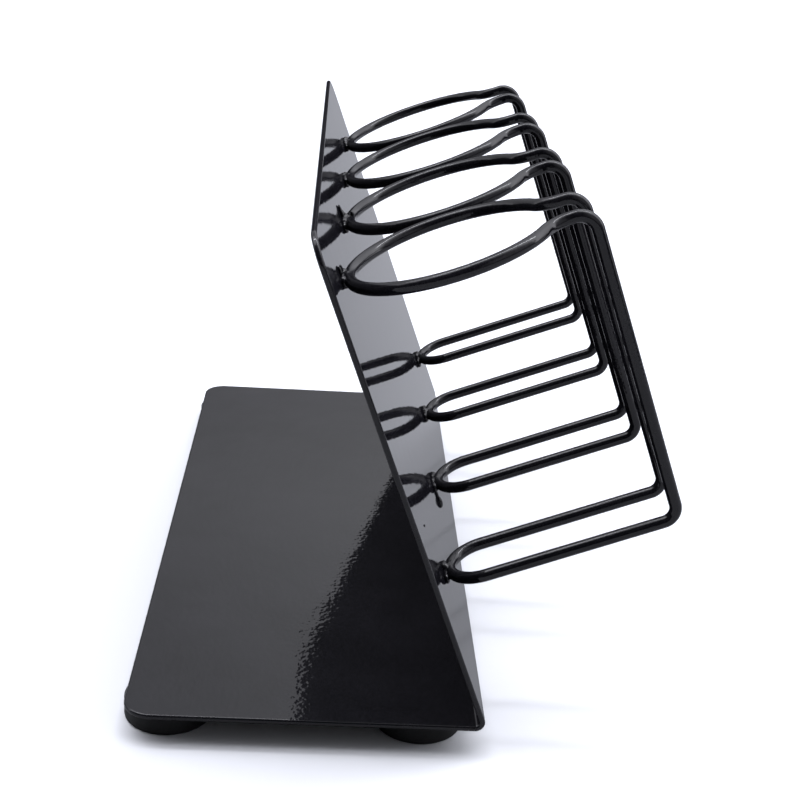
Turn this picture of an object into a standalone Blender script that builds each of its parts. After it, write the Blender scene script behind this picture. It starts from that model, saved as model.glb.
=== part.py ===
"""Counter stand with four wire ring holders.

One steel sheet is bent into a flat base and a panel that leans back over it. Four holders, each a
closed loop of round wire, are welded to the panel's front. Four rubber feet are stuck under the base.

Frame: X runs along the row of holders, the front with the holders faces -Y, +Z is up. The origin is
on the floor, under the middle of the whole stand.
"""

import math

import bmesh
import bpy
from mathutils import Vector

# Sheet
STAND_LENGTH = 0.312
BASE_DEPTH = 0.120  # free rear edge to the line where the panel's front meets the deck
PANEL_SLANT = 0.174  # deck to the panel's top edge, along the panel
PANEL_LEAN = math.radians(21.3)  # from upright, back over the base
SHEET_THICKNESS = 0.0020
BEND_INNER_RADIUS = 0.0012
CORNER_RADIUS = 0.010
BEND_STEPS = 12
CORNER_STEPS = 8

# Holders
HOLDER_COUNT = 4
HOLDER_PITCH = 0.074
ROW_OFFSET = -0.0095  # the row sits toward the -X end
WIRE_RADIUS = 0.0021
WIRE_BEVEL_RESOLUTION = 2
RING_HEIGHT = 0.150  # up the panel from the deck
ARM_HEIGHT = 0.0415
REACH = 0.0805  # panel's front to the centreline of the two uprights
RING_RADIUS = 0.0335
HALF_GAP = 0.0118  # middle to either wire, in the arms, the uprights and the neck
NECK_FLARE_RADIUS = 0.0105
LOWER_BEND_RADIUS = 0.005
UPPER_BEND_RADIUS = 0.006
ARM_END_STEPS = 6
WIRE_BEND_STEPS = 5
NECK_STEPS = 4
RING_STEPS = 22

# Weld beads: half sizes out of the panel, along it and up it
BEAD_OUT = 0.0056
BEAD_ALONG = 0.0072
BEAD_UP = 0.0044
BEAD_LUMP = 0.10  # share of the size that the surface ripples by
BEAD_RIPPLES = (3.0, 2.5, 4.0)  # waves across the bead, along X, up and out
BEAD_PHASE_STEP = 1.7  # from one bead's ripples to the next one's
BEAD_LOWER_PHASE = 0.9
BEAD_SEGMENTS = 16
BEAD_RINGS = 8

# Feet
FOOT_RADIUS = 0.0148
FOOT_HEIGHT = 0.0075
FOOT_EDGE = 0.0007
FOOT_END_INSET = 0.0195  # foot axis to the end of the sheet
FOOT_REAR_INSET = 0.0136  # foot axis to the free rear edge, so the foot shows past it
FOOT_FRONT_INSET = 0.0215  # foot axis to the bend line
FOOT_STEPS = 40
TAPE_RADIUS = 0.0125
TAPE_THICKNESS = 0.0008

GAP = 0.0003  # between pieces that touch
PANEL_CUTTER_DEPTH = 0.020

# Derived places
OUT_Y = -math.cos(PANEL_LEAN)
OUT_Z = math.sin(PANEL_LEAN)
UP_Y = math.sin(PANEL_LEAN)
UP_Z = math.cos(PANEL_LEAN)
BEND_OUTER_RADIUS = BEND_INNER_RADIUS + SHEET_THICKNESS
UNDERSIDE_Z = FOOT_HEIGHT + GAP + TAPE_THICKNESS + GAP
DECK_Z = UNDERSIDE_Z + SHEET_THICKNESS
WIRE_STANDOFF = WIRE_RADIUS + GAP  # panel's front to the centreline of a wire that touches it

FRONT_REACH = (
    (REACH - LOWER_BEND_RADIUS) * math.cos(PANEL_LEAN)
    - (ARM_HEIGHT + LOWER_BEND_RADIUS) * math.sin(PANEL_LEAN)
    + LOWER_BEND_RADIUS
    + WIRE_RADIUS
)
REAR_REACH = BASE_DEPTH - FOOT_REAR_INSET + FOOT_RADIUS
BEND_LINE_Y = (FRONT_REACH - REAR_REACH) / 2  # centres the whole stand on the origin


def clear_scene():
    for obj in list(bpy.data.objects):
        bpy.data.objects.remove(obj, do_unlink=True)


def make_collection(name):
    collection = bpy.data.collections.new(name)
    bpy.context.scene.collection.children.link(collection)
    return collection


def make_material(name, colour, roughness, metallic=0.0):
    material = bpy.data.materials.new(name)
    material.use_nodes = True
    shader = material.node_tree.nodes["Principled BSDF"]
    shader.inputs["Base Color"].default_value = (*colour, 1.0)
    shader.inputs["Roughness"].default_value = roughness
    shader.inputs["Metallic"].default_value = metallic
    return material


def add_object(name, data, collection, material=None):
    obj = bpy.data.objects.new(name, data)
    collection.objects.link(obj)
    if material is not None:
        data.materials.append(material)
    return obj


def make_helper(obj):
    obj.hide_render = True
    obj.display_type = "WIRE"


def shade_round(mesh, angle=math.radians(35)):
    mesh.shade_smooth()
    mesh.set_sharp_from_angle(angle=angle)


def panel_point(out, along, up):
    """World point a distance out of the panel's front, along X and up the panel from the deck."""
    y = BEND_LINE_Y + out * OUT_Y + up * UP_Y
    z = DECK_Z + out * OUT_Z + up * UP_Z
    return Vector((along, y, z))


def arc(centre, radius, start, end, steps):
    """Points of an arc in a plane, angles in degrees, both ends included."""
    angles = [math.radians(start + (end - start) * i / steps) for i in range(steps + 1)]
    return [(centre[0] + radius * math.cos(a), centre[1] + radius * math.sin(a)) for a in angles]


# Sheet


def sheet_section():
    """Outline of the bent sheet in (y, z), from the rear edge's underside round to its top."""
    lean = math.degrees(PANEL_LEAN)
    bend_z = UNDERSIDE_Z + BEND_OUTER_RADIUS
    bend_out = -BEND_OUTER_RADIUS
    bend_y = BEND_LINE_Y + (bend_out - (bend_z - DECK_Z) * OUT_Z) / OUT_Y
    outer_bend = arc((bend_y, bend_z), BEND_OUTER_RADIUS, 270, 180 - lean, BEND_STEPS)
    inner_bend = arc((bend_y, bend_z), BEND_INNER_RADIUS, 180 - lean, 270, BEND_STEPS)
    rear_y = BEND_LINE_Y + BASE_DEPTH
    front_top = panel_point(0.0, 0.0, PANEL_SLANT)
    back_top = panel_point(-SHEET_THICKNESS, 0.0, PANEL_SLANT)
    return [
        (rear_y, UNDERSIDE_Z),
        *outer_bend,
        (front_top.y, front_top.z),
        (back_top.y, back_top.z),
        *inner_bend,
        (rear_y, DECK_Z),
    ]


def is_corner_edge(edge):
    """True for the four short edges, across the sheet's thickness, at its free corners."""
    a, b = (vert.co for vert in edge.verts)
    across_sheet = abs(a.x - b.x) < 1e-6 and abs((a - b).length - SHEET_THICKNESS) < 1e-6
    middle = (a + b) / 2
    at_rear = middle.y > BEND_LINE_Y + BASE_DEPTH - SHEET_THICKNESS and middle.z < DECK_Z
    at_top = middle.z > panel_point(0.0, 0.0, PANEL_SLANT).z - SHEET_THICKNESS
    return across_sheet and (at_rear or at_top)


def make_sheet(collection, material):
    bm = bmesh.new()
    half = STAND_LENGTH / 2
    verts = [bm.verts.new((-half, y, z)) for y, z in sheet_section()]
    end_face = bm.faces.new(verts)
    grown = bmesh.ops.extrude_face_region(bm, geom=[end_face])["geom"]
    moved = [item for item in grown if isinstance(item, bmesh.types.BMVert)]
    bmesh.ops.translate(bm, vec=(STAND_LENGTH, 0.0, 0.0), verts=moved)
    bmesh.ops.recalc_face_normals(bm, faces=bm.faces)
    corners = [edge for edge in bm.edges if is_corner_edge(edge)]
    bmesh.ops.bevel(
        bm, geom=corners, offset=CORNER_RADIUS, segments=CORNER_STEPS, profile=0.5, affect="EDGES"
    )
    mesh = bpy.data.meshes.new("stand_sheet")
    bm.to_mesh(mesh)
    bm.free()
    shade_round(mesh)
    return add_object("stand_sheet", mesh, collection, material)


# Holders


def half_holder():
    """Half of a holder's centreline as (out, along, up), from the panel below to the panel above."""
    points = []
    arm_centre = (WIRE_STANDOFF + HALF_GAP, 0.0)
    for out, along in arc(arm_centre, HALF_GAP, 180, 90, ARM_END_STEPS):
        points.append((out, along, ARM_HEIGHT))
    lower_centre = (REACH - LOWER_BEND_RADIUS, ARM_HEIGHT + LOWER_BEND_RADIUS)
    for out, up in arc(lower_centre, LOWER_BEND_RADIUS, -90, 0, WIRE_BEND_STEPS):
        points.append((out, HALF_GAP, up))
    upper_centre = (REACH - UPPER_BEND_RADIUS, RING_HEIGHT - UPPER_BEND_RADIUS)
    for out, up in arc(upper_centre, UPPER_BEND_RADIUS, 0, 90, WIRE_BEND_STEPS):
        points.append((out, HALF_GAP, up))
    ring_centre = (WIRE_STANDOFF + RING_RADIUS, 0.0)
    flare_along = HALF_GAP + NECK_FLARE_RADIUS
    centres_apart = RING_RADIUS + NECK_FLARE_RADIUS
    flare_out = ring_centre[0] + math.sqrt(centres_apart**2 - flare_along**2)
    turn = math.degrees(math.asin(flare_along / centres_apart))
    flare_centre = (flare_out, flare_along)
    for out, along in arc(flare_centre, NECK_FLARE_RADIUS, 270, 180 + turn, NECK_STEPS):
        points.append((out, along, RING_HEIGHT))
    for out, along in arc(ring_centre, RING_RADIUS, turn, 180, RING_STEPS)[1:]:
        points.append((out, along, RING_HEIGHT))
    return points


def holder_centreline(along):
    """World points once round the closed loop of a holder."""
    half = half_holder()
    other_half = [(out, -side, up) for out, side, up in reversed(half[1:-1])]
    return [panel_point(out, along + side, up) for out, side, up in half + other_half]


def wire_curve(name, points, radius):
    curve = bpy.data.curves.new(name, "CURVE")
    curve.dimensions = "3D"
    curve.bevel_depth = radius
    curve.bevel_resolution = WIRE_BEVEL_RESOLUTION
    curve.use_fill_caps = True
    spline = curve.splines.new("POLY")
    spline.points.add(len(points) - 1)
    for place, point in zip(spline.points, points):
        place.co = (*point, 1.0)
    spline.use_cyclic_u = True
    spline.use_smooth = True
    return curve


def make_holder(number, along, collection, material):
    name = f"wire_holder_{number}"
    curve = wire_curve(name, holder_centreline(along), WIRE_RADIUS)
    return add_object(name, curve, collection, material)


# Weld beads


def make_wire_cutter(number, along, collection):
    """Mesh of a holder's wire grown by the gap, which clears a channel through its beads."""
    name = f"cutter_wire_{number}"
    curve = wire_curve(name, holder_centreline(along), WIRE_RADIUS + GAP)
    guide = add_object(name + "_curve", curve, collection)
    bpy.context.view_layer.update()
    graph = bpy.context.evaluated_depsgraph_get()
    mesh = bpy.data.meshes.new_from_object(guide.evaluated_get(graph))
    cutter = add_object(name, mesh, collection)
    cutter.matrix_world = guide.matrix_world
    bpy.data.objects.remove(guide, do_unlink=True)
    bpy.data.curves.remove(curve)
    make_helper(cutter)
    return cutter


def make_panel_cutter(collection):
    """Slab behind a plane just in front of the panel, which gives each bead its flat back."""
    bpy.ops.mesh.primitive_cube_add(size=1.0)
    cutter = bpy.context.object
    cutter.name = "cutter_panel"
    cutter.scale = (STAND_LENGTH, PANEL_CUTTER_DEPTH, PANEL_SLANT)
    cutter.rotation_euler = (-PANEL_LEAN, 0.0, 0.0)
    cutter.location = panel_point(GAP - PANEL_CUTTER_DEPTH / 2, 0.0, PANEL_SLANT / 2)
    for owner in cutter.users_collection:
        owner.objects.unlink(cutter)
    collection.objects.link(cutter)
    make_helper(cutter)
    return cutter


def bead_mesh(name, along, up, phase):
    """A lumpy ellipsoid round the place where a wire touches the panel."""
    bm = bmesh.new()
    bmesh.ops.create_uvsphere(bm, u_segments=BEAD_SEGMENTS, v_segments=BEAD_RINGS, radius=1.0)
    waves_along, waves_up, waves_out = BEAD_RIPPLES
    for vert in bm.verts:
        x, y, z = vert.co
        ripple = math.sin(waves_along * x + phase) * math.cos(waves_up * z - phase)
        ripple += 0.5 * math.sin(waves_out * y + z)
        size = 1.0 + BEAD_LUMP * ripple
        vert.co = panel_point(
            BEAD_OUT * y * size, along + BEAD_ALONG * x * size, up + BEAD_UP * z * size
        )
    bmesh.ops.recalc_face_normals(bm, faces=bm.faces)
    mesh = bpy.data.meshes.new(name)
    bm.to_mesh(mesh)
    bm.free()
    shade_round(mesh)
    return mesh


def make_bead(name, along, up, phase, cutters, collection, material):
    bead = add_object(name, bead_mesh(name, along, up, phase), collection, material)
    for cutter in cutters:
        cut = bead.modifiers.new("clear_" + cutter.name, "BOOLEAN")
        cut.operation = "DIFFERENCE"
        cut.solver = "EXACT"
        cut.object = cutter
    return bead


# Feet


def turned_mesh(name, profile, steps):
    """Object data turned about Z from (radius, height) points that run down the outer side."""
    mesh = bpy.data.meshes.new(name)
    edges = [(i, i + 1) for i in range(len(profile) - 1)]
    mesh.from_pydata([(radius, 0.0, height) for radius, height in profile], edges, [])
    return mesh


def make_turned(name, profile, place, collection, material):
    obj = add_object(name, turned_mesh(name, profile, FOOT_STEPS), collection, material)
    obj.location = place
    turn = obj.modifiers.new("turn", "SCREW")
    turn.axis = "Z"
    turn.steps = FOOT_STEPS
    turn.render_steps = FOOT_STEPS
    turn.use_merge_vertices = True
    turn.merge_threshold = 0.00001
    turn.use_smooth_shade = True
    return obj


def foot_profile():
    shoulder = FOOT_RADIUS - FOOT_EDGE
    return [
        (0.0, FOOT_HEIGHT),
        (shoulder, FOOT_HEIGHT),
        (FOOT_RADIUS, FOOT_HEIGHT - FOOT_EDGE),
        (FOOT_RADIUS, FOOT_EDGE),
        (shoulder, 0.0),
        (0.0, 0.0),
    ]


def tape_profile():
    return [
        (0.0, TAPE_THICKNESS),
        (TAPE_RADIUS, TAPE_THICKNESS),
        (TAPE_RADIUS, 0.0),
        (0.0, 0.0),
    ]


def foot_places():
    """Foot axes in X and Y: front and rear at the -X end, then at the +X end."""
    end_x = STAND_LENGTH / 2 - FOOT_END_INSET
    front_y = BEND_LINE_Y + FOOT_FRONT_INSET
    rear_y = BEND_LINE_Y + BASE_DEPTH - FOOT_REAR_INSET
    return [(x, y) for x in (-end_x, end_x) for y in (front_y, rear_y)]


def build():
    clear_scene()
    parts = make_collection("plate_display_stand")
    cutters = make_collection("cutters")
    gloss_black = make_material("gloss_black_powder_coat", (0.012, 0.012, 0.014), 0.12)
    rubber = make_material("black_rubber", (0.018, 0.018, 0.018), 0.75)
    tape = make_material("foot_tape_foam", (0.035, 0.035, 0.035), 0.9)

    make_sheet(parts, gloss_black)
    panel_cutter = make_panel_cutter(cutters)
    for index in range(HOLDER_COUNT):
        number = index + 1
        along = ROW_OFFSET + (index - (HOLDER_COUNT - 1) / 2) * HOLDER_PITCH
        make_holder(number, along, parts, gloss_black)
        both = (make_wire_cutter(number, along, cutters), panel_cutter)
        for level, up in (("upper", RING_HEIGHT), ("lower", ARM_HEIGHT)):
            phase = BEAD_PHASE_STEP * index + (BEAD_LOWER_PHASE if level == "lower" else 0.0)
            make_bead(f"weld_{level}_{number}", along, up, phase, both, parts, gloss_black)
    for index, (x, y) in enumerate(foot_places()):
        make_turned(f"foot_{index + 1}", foot_profile(), (x, y, 0.0), parts, rubber)
        tape_place = (x, y, FOOT_HEIGHT + GAP)
        make_turned(f"foot_tape_{index + 1}", tape_profile(), tape_place, parts, tape)


build()
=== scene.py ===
"""Looks of the counter stand with four wire ring holders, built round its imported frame.

X runs along the row of holders, the holders are on the -Y side, +Z is up, in metres.
"""

import math

import bmesh
import bpy
from mathutils import Euler, Matrix, Vector, noise


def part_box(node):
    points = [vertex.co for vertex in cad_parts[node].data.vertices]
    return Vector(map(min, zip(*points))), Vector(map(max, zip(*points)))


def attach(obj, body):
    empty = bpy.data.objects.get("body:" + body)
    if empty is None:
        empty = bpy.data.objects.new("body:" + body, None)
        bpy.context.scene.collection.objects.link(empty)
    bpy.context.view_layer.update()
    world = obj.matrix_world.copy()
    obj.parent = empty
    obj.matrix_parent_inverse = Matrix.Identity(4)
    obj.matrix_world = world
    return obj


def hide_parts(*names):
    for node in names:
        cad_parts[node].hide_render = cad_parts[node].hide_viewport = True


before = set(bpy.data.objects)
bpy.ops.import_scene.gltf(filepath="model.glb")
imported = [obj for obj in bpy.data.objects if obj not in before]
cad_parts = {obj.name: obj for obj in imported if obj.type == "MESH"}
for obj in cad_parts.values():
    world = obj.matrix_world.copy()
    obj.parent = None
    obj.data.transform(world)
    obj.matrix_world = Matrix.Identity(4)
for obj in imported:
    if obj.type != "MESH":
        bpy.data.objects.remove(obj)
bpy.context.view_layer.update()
BODY = "root"

# Driving dimensions, as in the CAD
BASE_DEPTH = 0.120
PANEL_SLANT = 0.174
PANEL_LEAN = math.radians(21.3)
SHEET_THICKNESS = 0.0020
BEND_INNER_RADIUS = 0.0012
CORNER_RADIUS = 0.010
WIRE_RADIUS = 0.0021
RING_HEIGHT = 0.150
ARM_HEIGHT = 0.0415
REACH = 0.0805
RING_RADIUS = 0.0335
HALF_GAP = 0.0118
NECK_FLARE_RADIUS = 0.0105
LOWER_BEND_RADIUS = 0.005
UPPER_BEND_RADIUS = 0.006
HOLDER_COUNT = 4
FOOT_COUNT = 4

# Fine shape of the coated sheet
EDGE_RADIUS = 0.00085
EDGE_STEPS = 5
BEND_STEPS = 36
CORNER_STEPS = 24

# Fine shape of the wires
WIRE_BEVEL_RESOLUTION = 8
WIRE_ARC_STEP = math.radians(4.0)

# Fine shape of the weld beads: radii and their spread are along X, out of the panel and up it
PUDDLE_COUNT = 6
PUDDLE_PITCH = 0.0019
PUDDLE_SHIFT = 0.0011
PUDDLE_RISE = 0.0014
PUDDLE_OUT = 0.0006
PUDDLE_RADII = (0.0021, 0.0020, 0.0029)
PUDDLE_SPREAD = (0.0007, 0.0008, 0.0013)
PUDDLE_TAPER = 0.13
WAVE_STEP = 1.7
WAVE_LAYER = 5.3
CROWN_OUT = 0.0021
CROWN_RADII = (0.0046, 0.0020, 0.0023)
MELT_VOXEL = 0.00025
MELT_SMOOTHING = 0.5
MELT_PASSES = 5

# Fine shape of the feet and their discs. The recess ring's limits are shares of the foot's radius
TURNED_STEPS = 96
SHARP_TURN = math.radians(40)
WELD_DISTANCE = 1e-6
FOOT_TOP_EDGE = 0.0005
FOOT_BOTTOM_EDGE = 0.0010
FOOT_RECESS_DEPTH = 0.0004
FOOT_RECESS_OUTER = (0.72, 0.70)
FOOT_RECESS_INNER = (0.30, 0.28)
DISC_BULGE = 0.0002
DISC_BULGE_STEPS = 8

# Places read from the frame. OUT and UP point out of the panel's front and up its slope
SHEET_LOW, SHEET_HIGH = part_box("stand_sheet")
HALF_LENGTH = (SHEET_HIGH.x - SHEET_LOW.x) / 2
UNDERSIDE_Z = SHEET_LOW.z
DECK_Z = UNDERSIDE_Z + SHEET_THICKNESS
REAR_Y = SHEET_HIGH.y
BEND_LINE_Y = REAR_Y - BASE_DEPTH
OUT = Vector((0.0, -math.cos(PANEL_LEAN), math.sin(PANEL_LEAN)))
UP = Vector((0.0, math.sin(PANEL_LEAN), math.cos(PANEL_LEAN)))
ALONG = Vector((1.0, 0.0, 0.0))
PANEL_FOOT = Vector((0.0, BEND_LINE_Y, DECK_Z))
TOUCH_GAP = 0.0003
WIRE_STANDOFF = WIRE_RADIUS + TOUCH_GAP


def panel_point(out, along, up):
    """Point a distance out of the panel's front, along X and up the panel from the deck."""
    return PANEL_FOOT + OUT * out + ALONG * along + UP * up


def arc(centre, radius, start, end, steps):
    """Points of an arc in a plane, angles in degrees, both ends included."""
    angles = [math.radians(start + (end - start) * i / steps) for i in range(steps + 1)]
    return [(centre[0] + radius * math.cos(a), centre[1] + radius * math.sin(a)) for a in angles]


def arc_steps(start, end):
    """Steps that keep a wire's arc smooth, for its first and last angle in degrees."""
    return max(2, round(math.radians(abs(end - start)) / WIRE_ARC_STEP))


def add_piece(name, data, material, replaced):
    """A finished piece: it rides on the body and stands for its CAD nodes."""
    obj = bpy.data.objects.new(name, data)
    bpy.context.scene.collection.objects.link(obj)
    data.materials.clear()
    data.materials.append(material)
    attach(obj, BODY)
    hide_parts(*replaced)
    return obj


# Materials

COAT_DARK = (0.0014, 0.0014, 0.0020)
COAT_DUSTY = (0.0052, 0.0050, 0.0064)
COAT_WEIGHT = 0.32
COAT_ROUGHNESS = 0.05
COAT_IOR = 1.5
SMUDGE_SCALE = 28.0
SPECK_SCALE = 1400.0
DUST_RANGE = (0.7, 1.3)
RIPPLE_TO_PEEL = 6
THICK_COAT_TOP = 0.011
THIN_COAT_BOTTOM = 0.016
THIN_COAT_PEEL = 0.35
RUBBER_DARK = (0.0025, 0.0025, 0.0025)
RUBBER_BLOOM = (0.0055, 0.0055, 0.0058)
FOAM_DARK = (0.02, 0.02, 0.02)
FOAM_PALE = (0.05, 0.05, 0.05)
FOAM_CELL_SCALE = 3500.0
FLOOR_DARK = (0.355, 0.36, 0.375)
FLOOR_PALE = (0.375, 0.38, 0.395)


class Nodes:
    """Short calls for building a node tree."""

    def __init__(self, tree):
        self.tree = tree

    def add(self, kind, **settings):
        node = self.tree.nodes.new(kind)
        for name, value in settings.items():
            setattr(node, name, value)
        return node

    def link(self, source, target):
        self.tree.links.new(source, target)

    def noise(self, vector, scale, detail, roughness=0.5):
        node = self.add("ShaderNodeTexNoise")
        node.inputs["Scale"].default_value = scale
        node.inputs["Detail"].default_value = detail
        node.inputs["Roughness"].default_value = roughness
        self.link(vector, node.inputs["Vector"])
        return node.outputs["Fac"]

    def map_range(self, value, low, high, out_low, out_high):
        node = self.add("ShaderNodeMapRange")
        for name, number in (
            ("From Min", low), ("From Max", high), ("To Min", out_low), ("To Max", out_high)
        ):
            node.inputs[name].default_value = number
        self.link(value, node.inputs["Value"])
        return node.outputs["Result"]

    def math(self, operation, first, second):
        node = self.add("ShaderNodeMath", operation=operation)
        self.link(first, node.inputs[0])
        self.link(second, node.inputs[1])
        return node.outputs["Value"]

    def sum(self, first, second):
        return self.math("ADD", first, second)

    def product(self, first, second):
        return self.math("MULTIPLY", first, second)

    def bump(self, height, distance, strength=1.0, normal=None):
        node = self.add("ShaderNodeBump")
        node.inputs["Distance"].default_value = distance
        node.inputs["Strength"].default_value = strength
        self.link(height, node.inputs["Height"])
        if normal is not None:
            self.link(normal, node.inputs["Normal"])
        return node.outputs["Normal"]

    def mix_colour(self, factor, first, second):
        node = self.add("ShaderNodeMix", data_type="RGBA")
        node.inputs["A"].default_value = (*first, 1.0)
        node.inputs["B"].default_value = (*second, 1.0)
        self.link(factor, node.inputs["Factor"])
        return node.outputs["Result"]


def new_material(name):
    """(material, node helper, Principled shader, object coordinates) of a fresh material."""
    material = bpy.data.materials.new(name)
    material.use_nodes = True
    nodes = Nodes(material.node_tree)
    shader = material.node_tree.nodes["Principled BSDF"]
    place = nodes.add("ShaderNodeTexCoord").outputs["Object"]
    return material, nodes, shader, place


def gloss_black(name, peel_size, peel_depth, ripple_depth):
    """Black powder coat under gloss, with orange peel of a size and a longer ripple under it.

    The peel is deepest low down, where the coat lies thick on the level base.
    """
    material, nodes, shader, place = new_material(name)
    smudge = nodes.noise(place, SMUDGE_SCALE, 4.0, 0.6)
    speck = nodes.noise(place, SPECK_SCALE, 1.0)
    dust = nodes.map_range(nodes.sum(smudge, speck), *DUST_RANGE, 0.0, 1.0)
    nodes.link(nodes.mix_colour(dust, COAT_DARK, COAT_DUSTY), shader.inputs["Base Color"])
    shader.inputs["Roughness"].default_value = 0.6
    shader.inputs["Specular IOR Level"].default_value = 0.0
    shader.inputs["Coat Weight"].default_value = COAT_WEIGHT
    shader.inputs["Coat Roughness"].default_value = COAT_ROUGHNESS
    shader.inputs["Coat IOR"].default_value = COAT_IOR
    split = nodes.add("ShaderNodeSeparateXYZ")
    nodes.link(place, split.inputs["Vector"])
    height = split.outputs["Z"]
    thickness = nodes.map_range(height, THICK_COAT_TOP, THIN_COAT_BOTTOM, 1.0, THIN_COAT_PEEL)
    peel = nodes.product(nodes.noise(place, 1 / peel_size, 1.0, 0.35), thickness)
    ripple = nodes.noise(place, 1 / (RIPPLE_TO_PEEL * peel_size), 2.0)
    normal = nodes.bump(ripple, ripple_depth)
    normal = nodes.bump(peel, peel_depth, 1.0, normal)
    nodes.link(normal, shader.inputs["Normal"])
    nodes.link(normal, shader.inputs["Coat Normal"])
    return material


def black_rubber():
    """Matt black rubber with a fine grain and a faint bloom."""
    material, nodes, shader, place = new_material("matt_black_rubber")
    grain = nodes.noise(place, 2400.0, 3.0, 0.6)
    bloom = nodes.noise(place, 160.0, 4.0, 0.6)
    nodes.link(nodes.mix_colour(bloom, RUBBER_DARK, RUBBER_BLOOM), shader.inputs["Base Color"])
    nodes.link(nodes.map_range(bloom, 0.3, 0.7, 0.62, 0.80), shader.inputs["Roughness"])
    shader.inputs["Specular IOR Level"].default_value = 0.15
    nodes.link(nodes.bump(grain, 0.00004), shader.inputs["Normal"])
    return material


def foam_tape():
    """Dark closed-cell foam."""
    material, nodes, shader, place = new_material("foam_tape")
    cells = nodes.add("ShaderNodeTexVoronoi")
    cells.inputs["Scale"].default_value = FOAM_CELL_SCALE
    nodes.link(place, cells.inputs["Vector"])
    tone = nodes.mix_colour(cells.outputs["Distance"], FOAM_DARK, FOAM_PALE)
    nodes.link(tone, shader.inputs["Base Color"])
    shader.inputs["Roughness"].default_value = 0.92
    nodes.link(nodes.bump(cells.outputs["Distance"], 0.0001), shader.inputs["Normal"])
    return material


# Sheet


class SheetSurface:
    """The bent sheet's middle surface, by X and by length from the rear edge round to the top."""

    def __init__(self):
        self.radius = BEND_INNER_RADIUS + SHEET_THICKNESS / 2
        centre_z = DECK_Z + BEND_INNER_RADIUS
        outer_radius = BEND_INNER_RADIUS + SHEET_THICKNESS
        centre_y = BEND_LINE_Y + (-outer_radius - (centre_z - DECK_Z) * OUT.z) / OUT.y
        self.centre = Vector((0.0, centre_y, centre_z))
        self.turn = math.pi / 2 + PANEL_LEAN
        self.bend_start = REAR_Y - centre_y
        self.bend_end = self.bend_start + self.radius * self.turn
        self.length = self.bend_end + PANEL_SLANT - (self.centre - PANEL_FOOT).dot(UP)

    def at(self, x, s):
        """(point, direction along the length, direction to the deck side) of the middle surface."""
        angle = -math.pi / 2 - min(max(s - self.bend_start, 0.0) / self.radius, self.turn)
        outward = Vector((0.0, math.cos(angle), math.sin(angle)))
        forward = Vector((0.0, outward.z, -outward.y))
        point = self.centre + outward * self.radius + ALONG * x
        if s < self.bend_start:
            point -= forward * (self.bend_start - s)
        elif s > self.bend_end:
            point += forward * (s - self.bend_end)
        return point, forward, -outward


def side_outline(surface, inset):
    """Points (x, s, out x, out s) up the +X side of the flat pattern: corner, bend rows, corner."""
    radius = CORNER_RADIUS - inset
    x_centre = HALF_LENGTH - CORNER_RADIUS
    points = []
    for i in range(CORNER_STEPS + 1):
        a = math.pi / 2 * i / CORNER_STEPS
        across, back = math.sin(a), math.cos(a)
        points.append((x_centre + radius * across, CORNER_RADIUS - radius * back, across, -back))
    for i in range(BEND_STEPS + 1):
        s = surface.bend_start + (surface.bend_end - surface.bend_start) * i / BEND_STEPS
        points.append((HALF_LENGTH - inset, s, 1.0, 0.0))
    for i in range(CORNER_STEPS + 1):
        a = math.pi / 2 * i / CORNER_STEPS
        across, on = math.cos(a), math.sin(a)
        s = surface.length - CORNER_RADIUS + radius * on
        points.append((x_centre + radius * across, s, across, on))
    return points


def edge_profile():
    """(inset, height off the middle surface, angle) round the sheet's rounded edge, deck side first."""
    flat = SHEET_THICKNESS / 2 - EDGE_RADIUS
    angles = [math.pi / 2 * (1 - i / EDGE_STEPS) for i in range(EDGE_STEPS + 1)]
    upper = [(EDGE_RADIUS * (1 - math.cos(a)), flat + EDGE_RADIUS * math.sin(a), a) for a in angles]
    return upper + [(inset, -height, -a) for inset, height, a in reversed(upper)]


def coated_sheet(material):
    """The bent sheet: one loop of points for each step round its edge, closed by the two faces."""
    surface = SheetSurface()
    bm = bmesh.new()
    normals = []
    loops = []
    for inset, height, angle in edge_profile():
        side = side_outline(surface, inset)
        ring = side + [(-x, s, -across, on) for x, s, across, on in reversed(side)]
        loop = []
        for x, s, across, on in ring:
            point, forward, deckward = surface.at(x, s)
            loop.append(bm.verts.new(point + deckward * height))
            outward = ALONG * across + forward * on
            normals.append(outward * math.cos(angle) + deckward * math.sin(angle))
        loops.append(loop)
    count = len(loops[0])
    for first, second in zip(loops, loops[1:]):
        for i in range(count):
            j = (i + 1) % count
            bm.faces.new((first[i], first[j], second[j], second[i]))
    for loop in (loops[0], loops[-1]):
        for i in range(count // 2 - 1):
            bm.faces.new((loop[i], loop[i + 1], loop[count - 2 - i], loop[count - 1 - i]))
    bmesh.ops.recalc_face_normals(bm, faces=bm.faces)
    mesh = bpy.data.meshes.new("coated_sheet")
    bm.to_mesh(mesh)
    bm.free()
    mesh.shade_smooth()
    mesh.normals_split_custom_set_from_vertices(normals)
    return add_piece("coated_sheet", mesh, material, ["stand_sheet"])


# Holders


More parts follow.
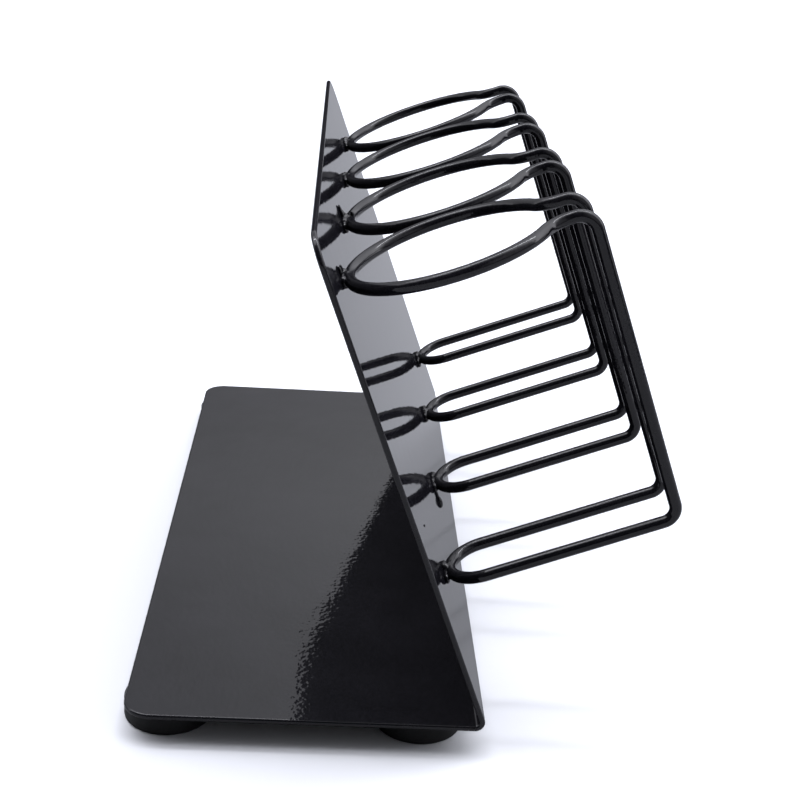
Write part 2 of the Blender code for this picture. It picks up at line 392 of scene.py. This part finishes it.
def half_holder():
    """Half of a holder's centreline as (out, along, up), from the panel below to the panel above."""
    points = []
    for out, along in arc((WIRE_STANDOFF + HALF_GAP, 0.0), HALF_GAP, 180, 90, arc_steps(180, 90)):
        points.append((out, along, ARM_HEIGHT))
    lower_centre = (REACH - LOWER_BEND_RADIUS, ARM_HEIGHT + LOWER_BEND_RADIUS)
    for out, up in arc(lower_centre, LOWER_BEND_RADIUS, -90, 0, arc_steps(-90, 0)):
        points.append((out, HALF_GAP, up))
    upper_centre = (REACH - UPPER_BEND_RADIUS, RING_HEIGHT - UPPER_BEND_RADIUS)
    for out, up in arc(upper_centre, UPPER_BEND_RADIUS, 0, 90, arc_steps(0, 90)):
        points.append((out, HALF_GAP, up))
    ring_centre = (WIRE_STANDOFF + RING_RADIUS, 0.0)
    flare_along = HALF_GAP + NECK_FLARE_RADIUS
    centres_apart = RING_RADIUS + NECK_FLARE_RADIUS
    flare_centre = (ring_centre[0] + math.sqrt(centres_apart**2 - flare_along**2), flare_along)
    turn = math.degrees(math.asin(flare_along / centres_apart))
    flare_steps = arc_steps(270, 180 + turn)
    for out, along in arc(flare_centre, NECK_FLARE_RADIUS, 270, 180 + turn, flare_steps):
        points.append((out, along, RING_HEIGHT))
    for out, along in arc(ring_centre, RING_RADIUS, turn, 180, arc_steps(turn, 180))[1:]:
        points.append((out, along, RING_HEIGHT))
    return points


def ring_wire(number, material):
    """One holder as a closed loop of round wire."""
    low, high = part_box(f"wire_holder_{number}")
    middle = (low.x + high.x) / 2
    half = half_holder()
    other_half = [(out, -side, up) for out, side, up in reversed(half[1:-1])]
    points = [panel_point(out, middle + side, up) for out, side, up in half + other_half]
    name = f"ring_wire_{number}"
    curve = bpy.data.curves.new(name, "CURVE")
    curve.dimensions = "3D"
    curve.bevel_depth = WIRE_RADIUS
    curve.bevel_resolution = WIRE_BEVEL_RESOLUTION
    spline = curve.splines.new("POLY")
    spline.points.add(len(points) - 1)
    for place, point in zip(spline.points, points):
        place.co = (*point, 1.0)
    spline.use_cyclic_u = True
    spline.use_smooth = True
    return add_piece(name, curve, material, [f"wire_holder_{number}"])


# Weld beads


def add_blob(bm, out, along, up, radii, turn=(0.0, 0.0, 0.0)):
    """An ellipsoid in the panel's directions, its radii along X, out and up."""
    axes = Matrix((ALONG, OUT, UP)).transposed().to_4x4()
    place = Matrix.Translation(panel_point(out, along, up)) @ axes
    place = place @ Euler(turn).to_matrix().to_4x4()
    scale = Matrix.Diagonal((*radii, 1.0))
    bmesh.ops.create_icosphere(bm, subdivisions=3, radius=1.0, matrix=place @ scale)


def weld_bead(name, along, up, seed, extras, material, replaced):
    """Puddles of weld metal run together behind the wire where it meets the panel."""
    bm = bmesh.new()
    for i in range(PUDDLE_COUNT):
        wave = [noise.noise(Vector((seed, i * WAVE_STEP, k * WAVE_LAYER))) for k in range(4)]
        steps_off = i - (PUDDLE_COUNT - 1) / 2
        side = steps_off * PUDDLE_PITCH + PUDDLE_SHIFT * wave[0]
        taper = 1 - PUDDLE_TAPER * abs(steps_off)
        long, deep, tall = (
            mean + spread * swell
            for mean, spread, swell in zip(PUDDLE_RADII, PUDDLE_SPREAD, wave[1:])
        )
        radii = (long, deep * taper, tall * taper)
        rise = up + PUDDLE_RISE * wave[2]
        add_blob(bm, PUDDLE_OUT, along + side, rise, radii, (0.5 * wave[0], 0.0, wave[3]))
    add_blob(bm, CROWN_OUT, along, up, CROWN_RADII)
    for out, side, rise, radii, turn in extras:
        add_blob(bm, out, along + side, up + rise, radii, turn)
    mesh = bpy.data.meshes.new(name)
    bm.to_mesh(mesh)
    bm.free()
    obj = add_piece(name, mesh, material, replaced)
    melt = obj.modifiers.new("melt", "REMESH")
    melt.mode = "VOXEL"
    melt.voxel_size = MELT_VOXEL
    melt.use_smooth_shade = True
    smooth = obj.modifiers.new("smooth", "SMOOTH")
    smooth.factor = MELT_SMOOTHING
    smooth.iterations = MELT_PASSES
    return obj


# Spikes, runs and spatter of single beads: out, side, rise, radii along X, out and up, and turn
BEAD_EXTRAS = {
    "bead_upper_1": [
        (0.0004, -0.0024, 0.0036, (0.0006, 0.0006, 0.0017), (0.0, 0.25, 0.0)),
        (0.0006, 0.0016, 0.0034, (0.0006, 0.0006, 0.0014), (0.0, -0.3, 0.0)),
    ],
    "bead_upper_2": [
        (0.0004, 0.0000, 0.0044, (0.0007, 0.0006, 0.0030), (0.0, 0.1, 0.0)),
        (0.0006, 0.0002, 0.0030, (0.0016, 0.0010, 0.0022), (0.0, 0.0, 0.0)),
        (0.0040, 0.0004, 0.0020, (0.0009, 0.0008, 0.0016), (0.0, 0.0, 0.0)),
    ],
    "bead_lower_1": [
        (0.0, -0.0120, 0.0240, (0.0005, 0.0004, 0.0006), (0.0, 0.0, 0.0)),
    ],
    "bead_lower_2": [
        (0.0002, 0.0000, -0.0086, (0.0014, 0.0012, 0.0026), (0.0, 0.0, 0.0)),
        (0.0002, 0.0000, -0.0052, (0.0006, 0.0006, 0.0030), (0.0, 0.0, 0.0)),
    ],
}


# Feet


def turned(name, profile, place):
    """Mesh turned about Z from (radius, height) points that run down the outer side."""
    bm = bmesh.new()
    verts = [bm.verts.new((radius, 0.0, height)) for radius, height in profile]
    edges = [bm.edges.new(pair) for pair in zip(verts, verts[1:])]
    bmesh.ops.spin(
        bm, geom=verts + edges, axis=(0.0, 0.0, 1.0), cent=(0.0, 0.0, 0.0),
        angle=math.tau, steps=TURNED_STEPS, use_merge=True,
    )
    bmesh.ops.remove_doubles(bm, verts=bm.verts, dist=WELD_DISTANCE)
    bmesh.ops.recalc_face_normals(bm, faces=bm.faces)
    bmesh.ops.translate(bm, vec=place, verts=bm.verts)
    mesh = bpy.data.meshes.new(name)
    bm.to_mesh(mesh)
    bm.free()
    mesh.shade_smooth()
    mesh.set_sharp_from_angle(angle=SHARP_TURN)
    return mesh


def rubber_foot(number, material):
    """Round bumper with eased edges and a shallow ring of a recess underneath."""
    low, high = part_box(f"foot_{number}")
    radius = (high.x - low.x) / 2
    height = high.z - low.z
    middle = (low + high) / 2
    profile = [
        (0.0, height),
        *arc((radius - FOOT_TOP_EDGE, height - FOOT_TOP_EDGE), FOOT_TOP_EDGE, 90, 0, 5),
        *arc((radius - FOOT_BOTTOM_EDGE, FOOT_BOTTOM_EDGE), FOOT_BOTTOM_EDGE, 0, -90, 8),
        (radius * FOOT_RECESS_OUTER[0], 0.0),
        (radius * FOOT_RECESS_OUTER[1], FOOT_RECESS_DEPTH),
        (radius * FOOT_RECESS_INNER[0], FOOT_RECESS_DEPTH),
        (radius * FOOT_RECESS_INNER[1], 0.0),
        (0.0, 0.0),
    ]
    mesh = turned(f"rubber_foot_{number}", profile, (middle.x, middle.y, low.z))
    return add_piece(mesh.name, mesh, material, [f"foot_{number}"])


def foam_disc(number, material):
    """Adhesive disc between foot and sheet, its side squeezed out a little."""
    low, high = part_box(f"foot_tape_{number}")
    radius = (high.x - low.x) / 2
    height = high.z - low.z
    middle = (low + high) / 2
    profile = [(0.0, height)]
    for i in range(DISC_BULGE_STEPS + 1):
        a = math.pi * i / DISC_BULGE_STEPS
        side = radius - DISC_BULGE + DISC_BULGE * math.sin(a)
        profile.append((side, height * (1 + math.cos(a)) / 2))
    profile.append((0.0, 0.0))
    mesh = turned(f"foam_disc_{number}", profile, (middle.x, middle.y, low.z))
    return add_piece(mesh.name, mesh, material, [f"foot_tape_{number}"])


# Studio

LIGHT_TINT = (0.93, 0.94, 1.0)
# Degrees from the +X horizon over the top to the -X horizon, and how bright the tent is there
TENT_STOPS = (
    (0.0, 0.10), (13.0, 0.12), (17.0, 1.5), (20.0, 1.85), (25.0, 2.85), (31.0, 2.95),
    (45.0, 3.6), (60.0, 5.5), (75.0, 8.0), (90.0, 7.0), (100.0, 2.2), (112.0, 0.5),
    (122.0, 0.1), (180.0, 0.06),
)
REAR_SHARE = 0.62
REAR_FADE = (-0.10, 0.12)
FRONT_FILL = 1.2
FILL_FADE_Y = (-0.15, -0.5)
FILL_FADE_Z = (0.05, 0.3)
FLOOR_HALF_SIZE = 14.0
OVERHEAD_DIRECTION = (0.15, 0.45, 0.87)
OVERHEAD_WIDTH = math.radians(40)
OVERHEAD_STRENGTH = 1.6
STRIP_TURN = math.radians(78.0)
STRIP_AWAY = 4.0
STRIP_WIDTH = 0.28
STRIP_LENGTH = 5.0
STRIP_POWER = 150.0


def pale_floor():
    """Wide matt floor with barely uneven grey."""
    bm = bmesh.new()
    bmesh.ops.create_grid(bm, x_segments=8, y_segments=8, size=FLOOR_HALF_SIZE)
    mesh = bpy.data.meshes.new("floor")
    bm.to_mesh(mesh)
    bm.free()
    floor = bpy.data.objects.new("floor", mesh)
    bpy.context.scene.collection.objects.link(floor)
    material, nodes, shader, place = new_material("pale_floor")
    shade = nodes.noise(place, 3.0, 2.0)
    nodes.link(nodes.mix_colour(shade, FLOOR_DARK, FLOOR_PALE), shader.inputs["Base Color"])
    shader.inputs["Roughness"].default_value = 0.85
    shader.inputs["Specular IOR Level"].default_value = 0.2
    mesh.materials.append(material)


def studio_world():
    """Light tent open toward -X: brightest overhead, softer toward +X, dark low down and toward -X.

    Its +Y side is dimmer than its -Y side, and a low fill on the -Y side lights the panel's front.
    """
    world = bpy.data.worlds.new("studio")
    bpy.context.scene.world = world
    world.use_nodes = True
    nodes = Nodes(world.node_tree)
    background = world.node_tree.nodes["Background"]
    direction = nodes.add("ShaderNodeTexCoord").outputs["Generated"]
    split = nodes.add("ShaderNodeSeparateXYZ")
    nodes.link(direction, split.inputs["Vector"])
    angle = nodes.math("ARCTAN2", split.outputs["Z"], split.outputs["X"])
    turn = nodes.map_range(angle, 0.0, math.pi, 0.0, 1.0)
    ramp = nodes.add("ShaderNodeValToRGB")
    elements = ramp.color_ramp.elements
    elements.remove(elements[1])
    # The stop that is left is the one at 0
    for degrees, level in TENT_STOPS:
        element = elements.new(degrees / 180.0) if degrees else elements[0]
        element.color = (*(level * tint for tint in LIGHT_TINT), 1.0)
    nodes.link(turn, ramp.inputs["Fac"])
    front = nodes.product(
        nodes.map_range(split.outputs["Y"], *FILL_FADE_Y, 0.0, 1.0),
        nodes.map_range(split.outputs["Z"], *FILL_FADE_Z, 0.0, 1.0),
    )
    fill = nodes.add("ShaderNodeMix", data_type="RGBA", blend_type="ADD")
    fill.inputs["B"].default_value = (*(FRONT_FILL * tint for tint in LIGHT_TINT), 1.0)
    nodes.link(front, fill.inputs["Factor"])
    nodes.link(ramp.outputs["Color"], fill.inputs["A"])
    nodes.link(fill.outputs["Result"], background.inputs["Color"])
    side = nodes.map_range(split.outputs["Y"], *REAR_FADE, 1.0, REAR_SHARE)
    nodes.link(side, background.inputs["Strength"])


def high_light(name, direction, width, strength):
    """Light from a round patch of the sky, soft by its width, with its middle in a direction."""
    light = bpy.data.lights.new(name, "SUN")
    light.angle = width
    light.energy = strength
    light.color = LIGHT_TINT
    obj = bpy.data.objects.new(name, light)
    bpy.context.scene.collection.objects.link(obj)
    obj.rotation_euler = Vector(direction).to_track_quat("Z", "Y").to_euler()


def strip_light(name):
    """Long narrow soft box above the stand, along Y, that lines its edges and wires with light."""
    light = bpy.data.lights.new(name, "AREA")
    light.shape = "RECTANGLE"
    light.size = STRIP_LENGTH
    light.size_y = STRIP_WIDTH
    light.energy = STRIP_POWER
    light.color = LIGHT_TINT
    obj = bpy.data.objects.new(name, light)
    bpy.context.scene.collection.objects.link(obj)
    toward = Vector((math.cos(STRIP_TURN), 0.0, math.sin(STRIP_TURN)))
    obj.location = toward * STRIP_AWAY
    obj.rotation_euler = toward.to_track_quat("Z", "Y").to_euler()


# Camera

CAMERA_PLACE = Vector((-0.5708, 0.0279, 0.2799))
CAMERA_HEADING = math.radians(-3.096)
CAMERA_PITCH = math.radians(-20.527)
CAMERA_ROLL = math.radians(3.788)
CAMERA_LENS = 66.4
CAMERA_SENSOR = 36.0
CAMERA_CLIP_START = 0.01


def add_camera():
    """Looks along the row from its -X end, a little down, and slightly rolled."""
    data = bpy.data.cameras.new("camera")
    data.lens = CAMERA_LENS
    data.sensor_width = CAMERA_SENSOR
    data.clip_start = CAMERA_CLIP_START
    camera = bpy.data.objects.new("camera", data)
    bpy.context.scene.collection.objects.link(camera)
    level = math.cos(CAMERA_PITCH)
    forward = Vector((
        math.cos(CAMERA_HEADING) * level, math.sin(CAMERA_HEADING) * level, math.sin(CAMERA_PITCH)
    ))
    upright = forward.to_track_quat("-Z", "Y").to_matrix()
    roll = Matrix.Rotation(CAMERA_ROLL, 3, "Z")
    camera.matrix_world = Matrix.Translation(CAMERA_PLACE) @ (upright @ roll).to_4x4()
    bpy.context.scene.camera = camera


# Build

sheet_coat = gloss_black(
    "gloss_black_sheet", peel_size=0.0018, peel_depth=0.000040, ripple_depth=0.00006
)
wire_coat = gloss_black(
    "gloss_black_wire", peel_size=0.0011, peel_depth=0.00010, ripple_depth=0.00004
)
rubber = black_rubber()
foam = foam_tape()

coated_sheet(sheet_coat)
# Each bead has its own seed, so no two are alike
for number in range(1, HOLDER_COUNT + 1):
    ring_wire(number, wire_coat)
    low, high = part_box(f"wire_holder_{number}")
    middle = (low.x + high.x) / 2
    for level, up in (("upper", RING_HEIGHT), ("lower", ARM_HEIGHT)):
        name = f"bead_{level}_{number}"
        seed = 3.1 * number + (0.0 if level == "upper" else 1.7)
        extras = BEAD_EXTRAS.get(name, [])
        weld_bead(name, middle, up, seed, extras, wire_coat, [f"weld_{level}_{number}"])
for number in range(1, FOOT_COUNT + 1):
    rubber_foot(number, rubber)
    foam_disc(number, foam)

pale_floor()
studio_world()
high_light("overhead", OVERHEAD_DIRECTION, OVERHEAD_WIDTH, OVERHEAD_STRENGTH)
strip_light("strip")
add_camera()
bpy.context.scene.view_settings.view_transform = "Standard"
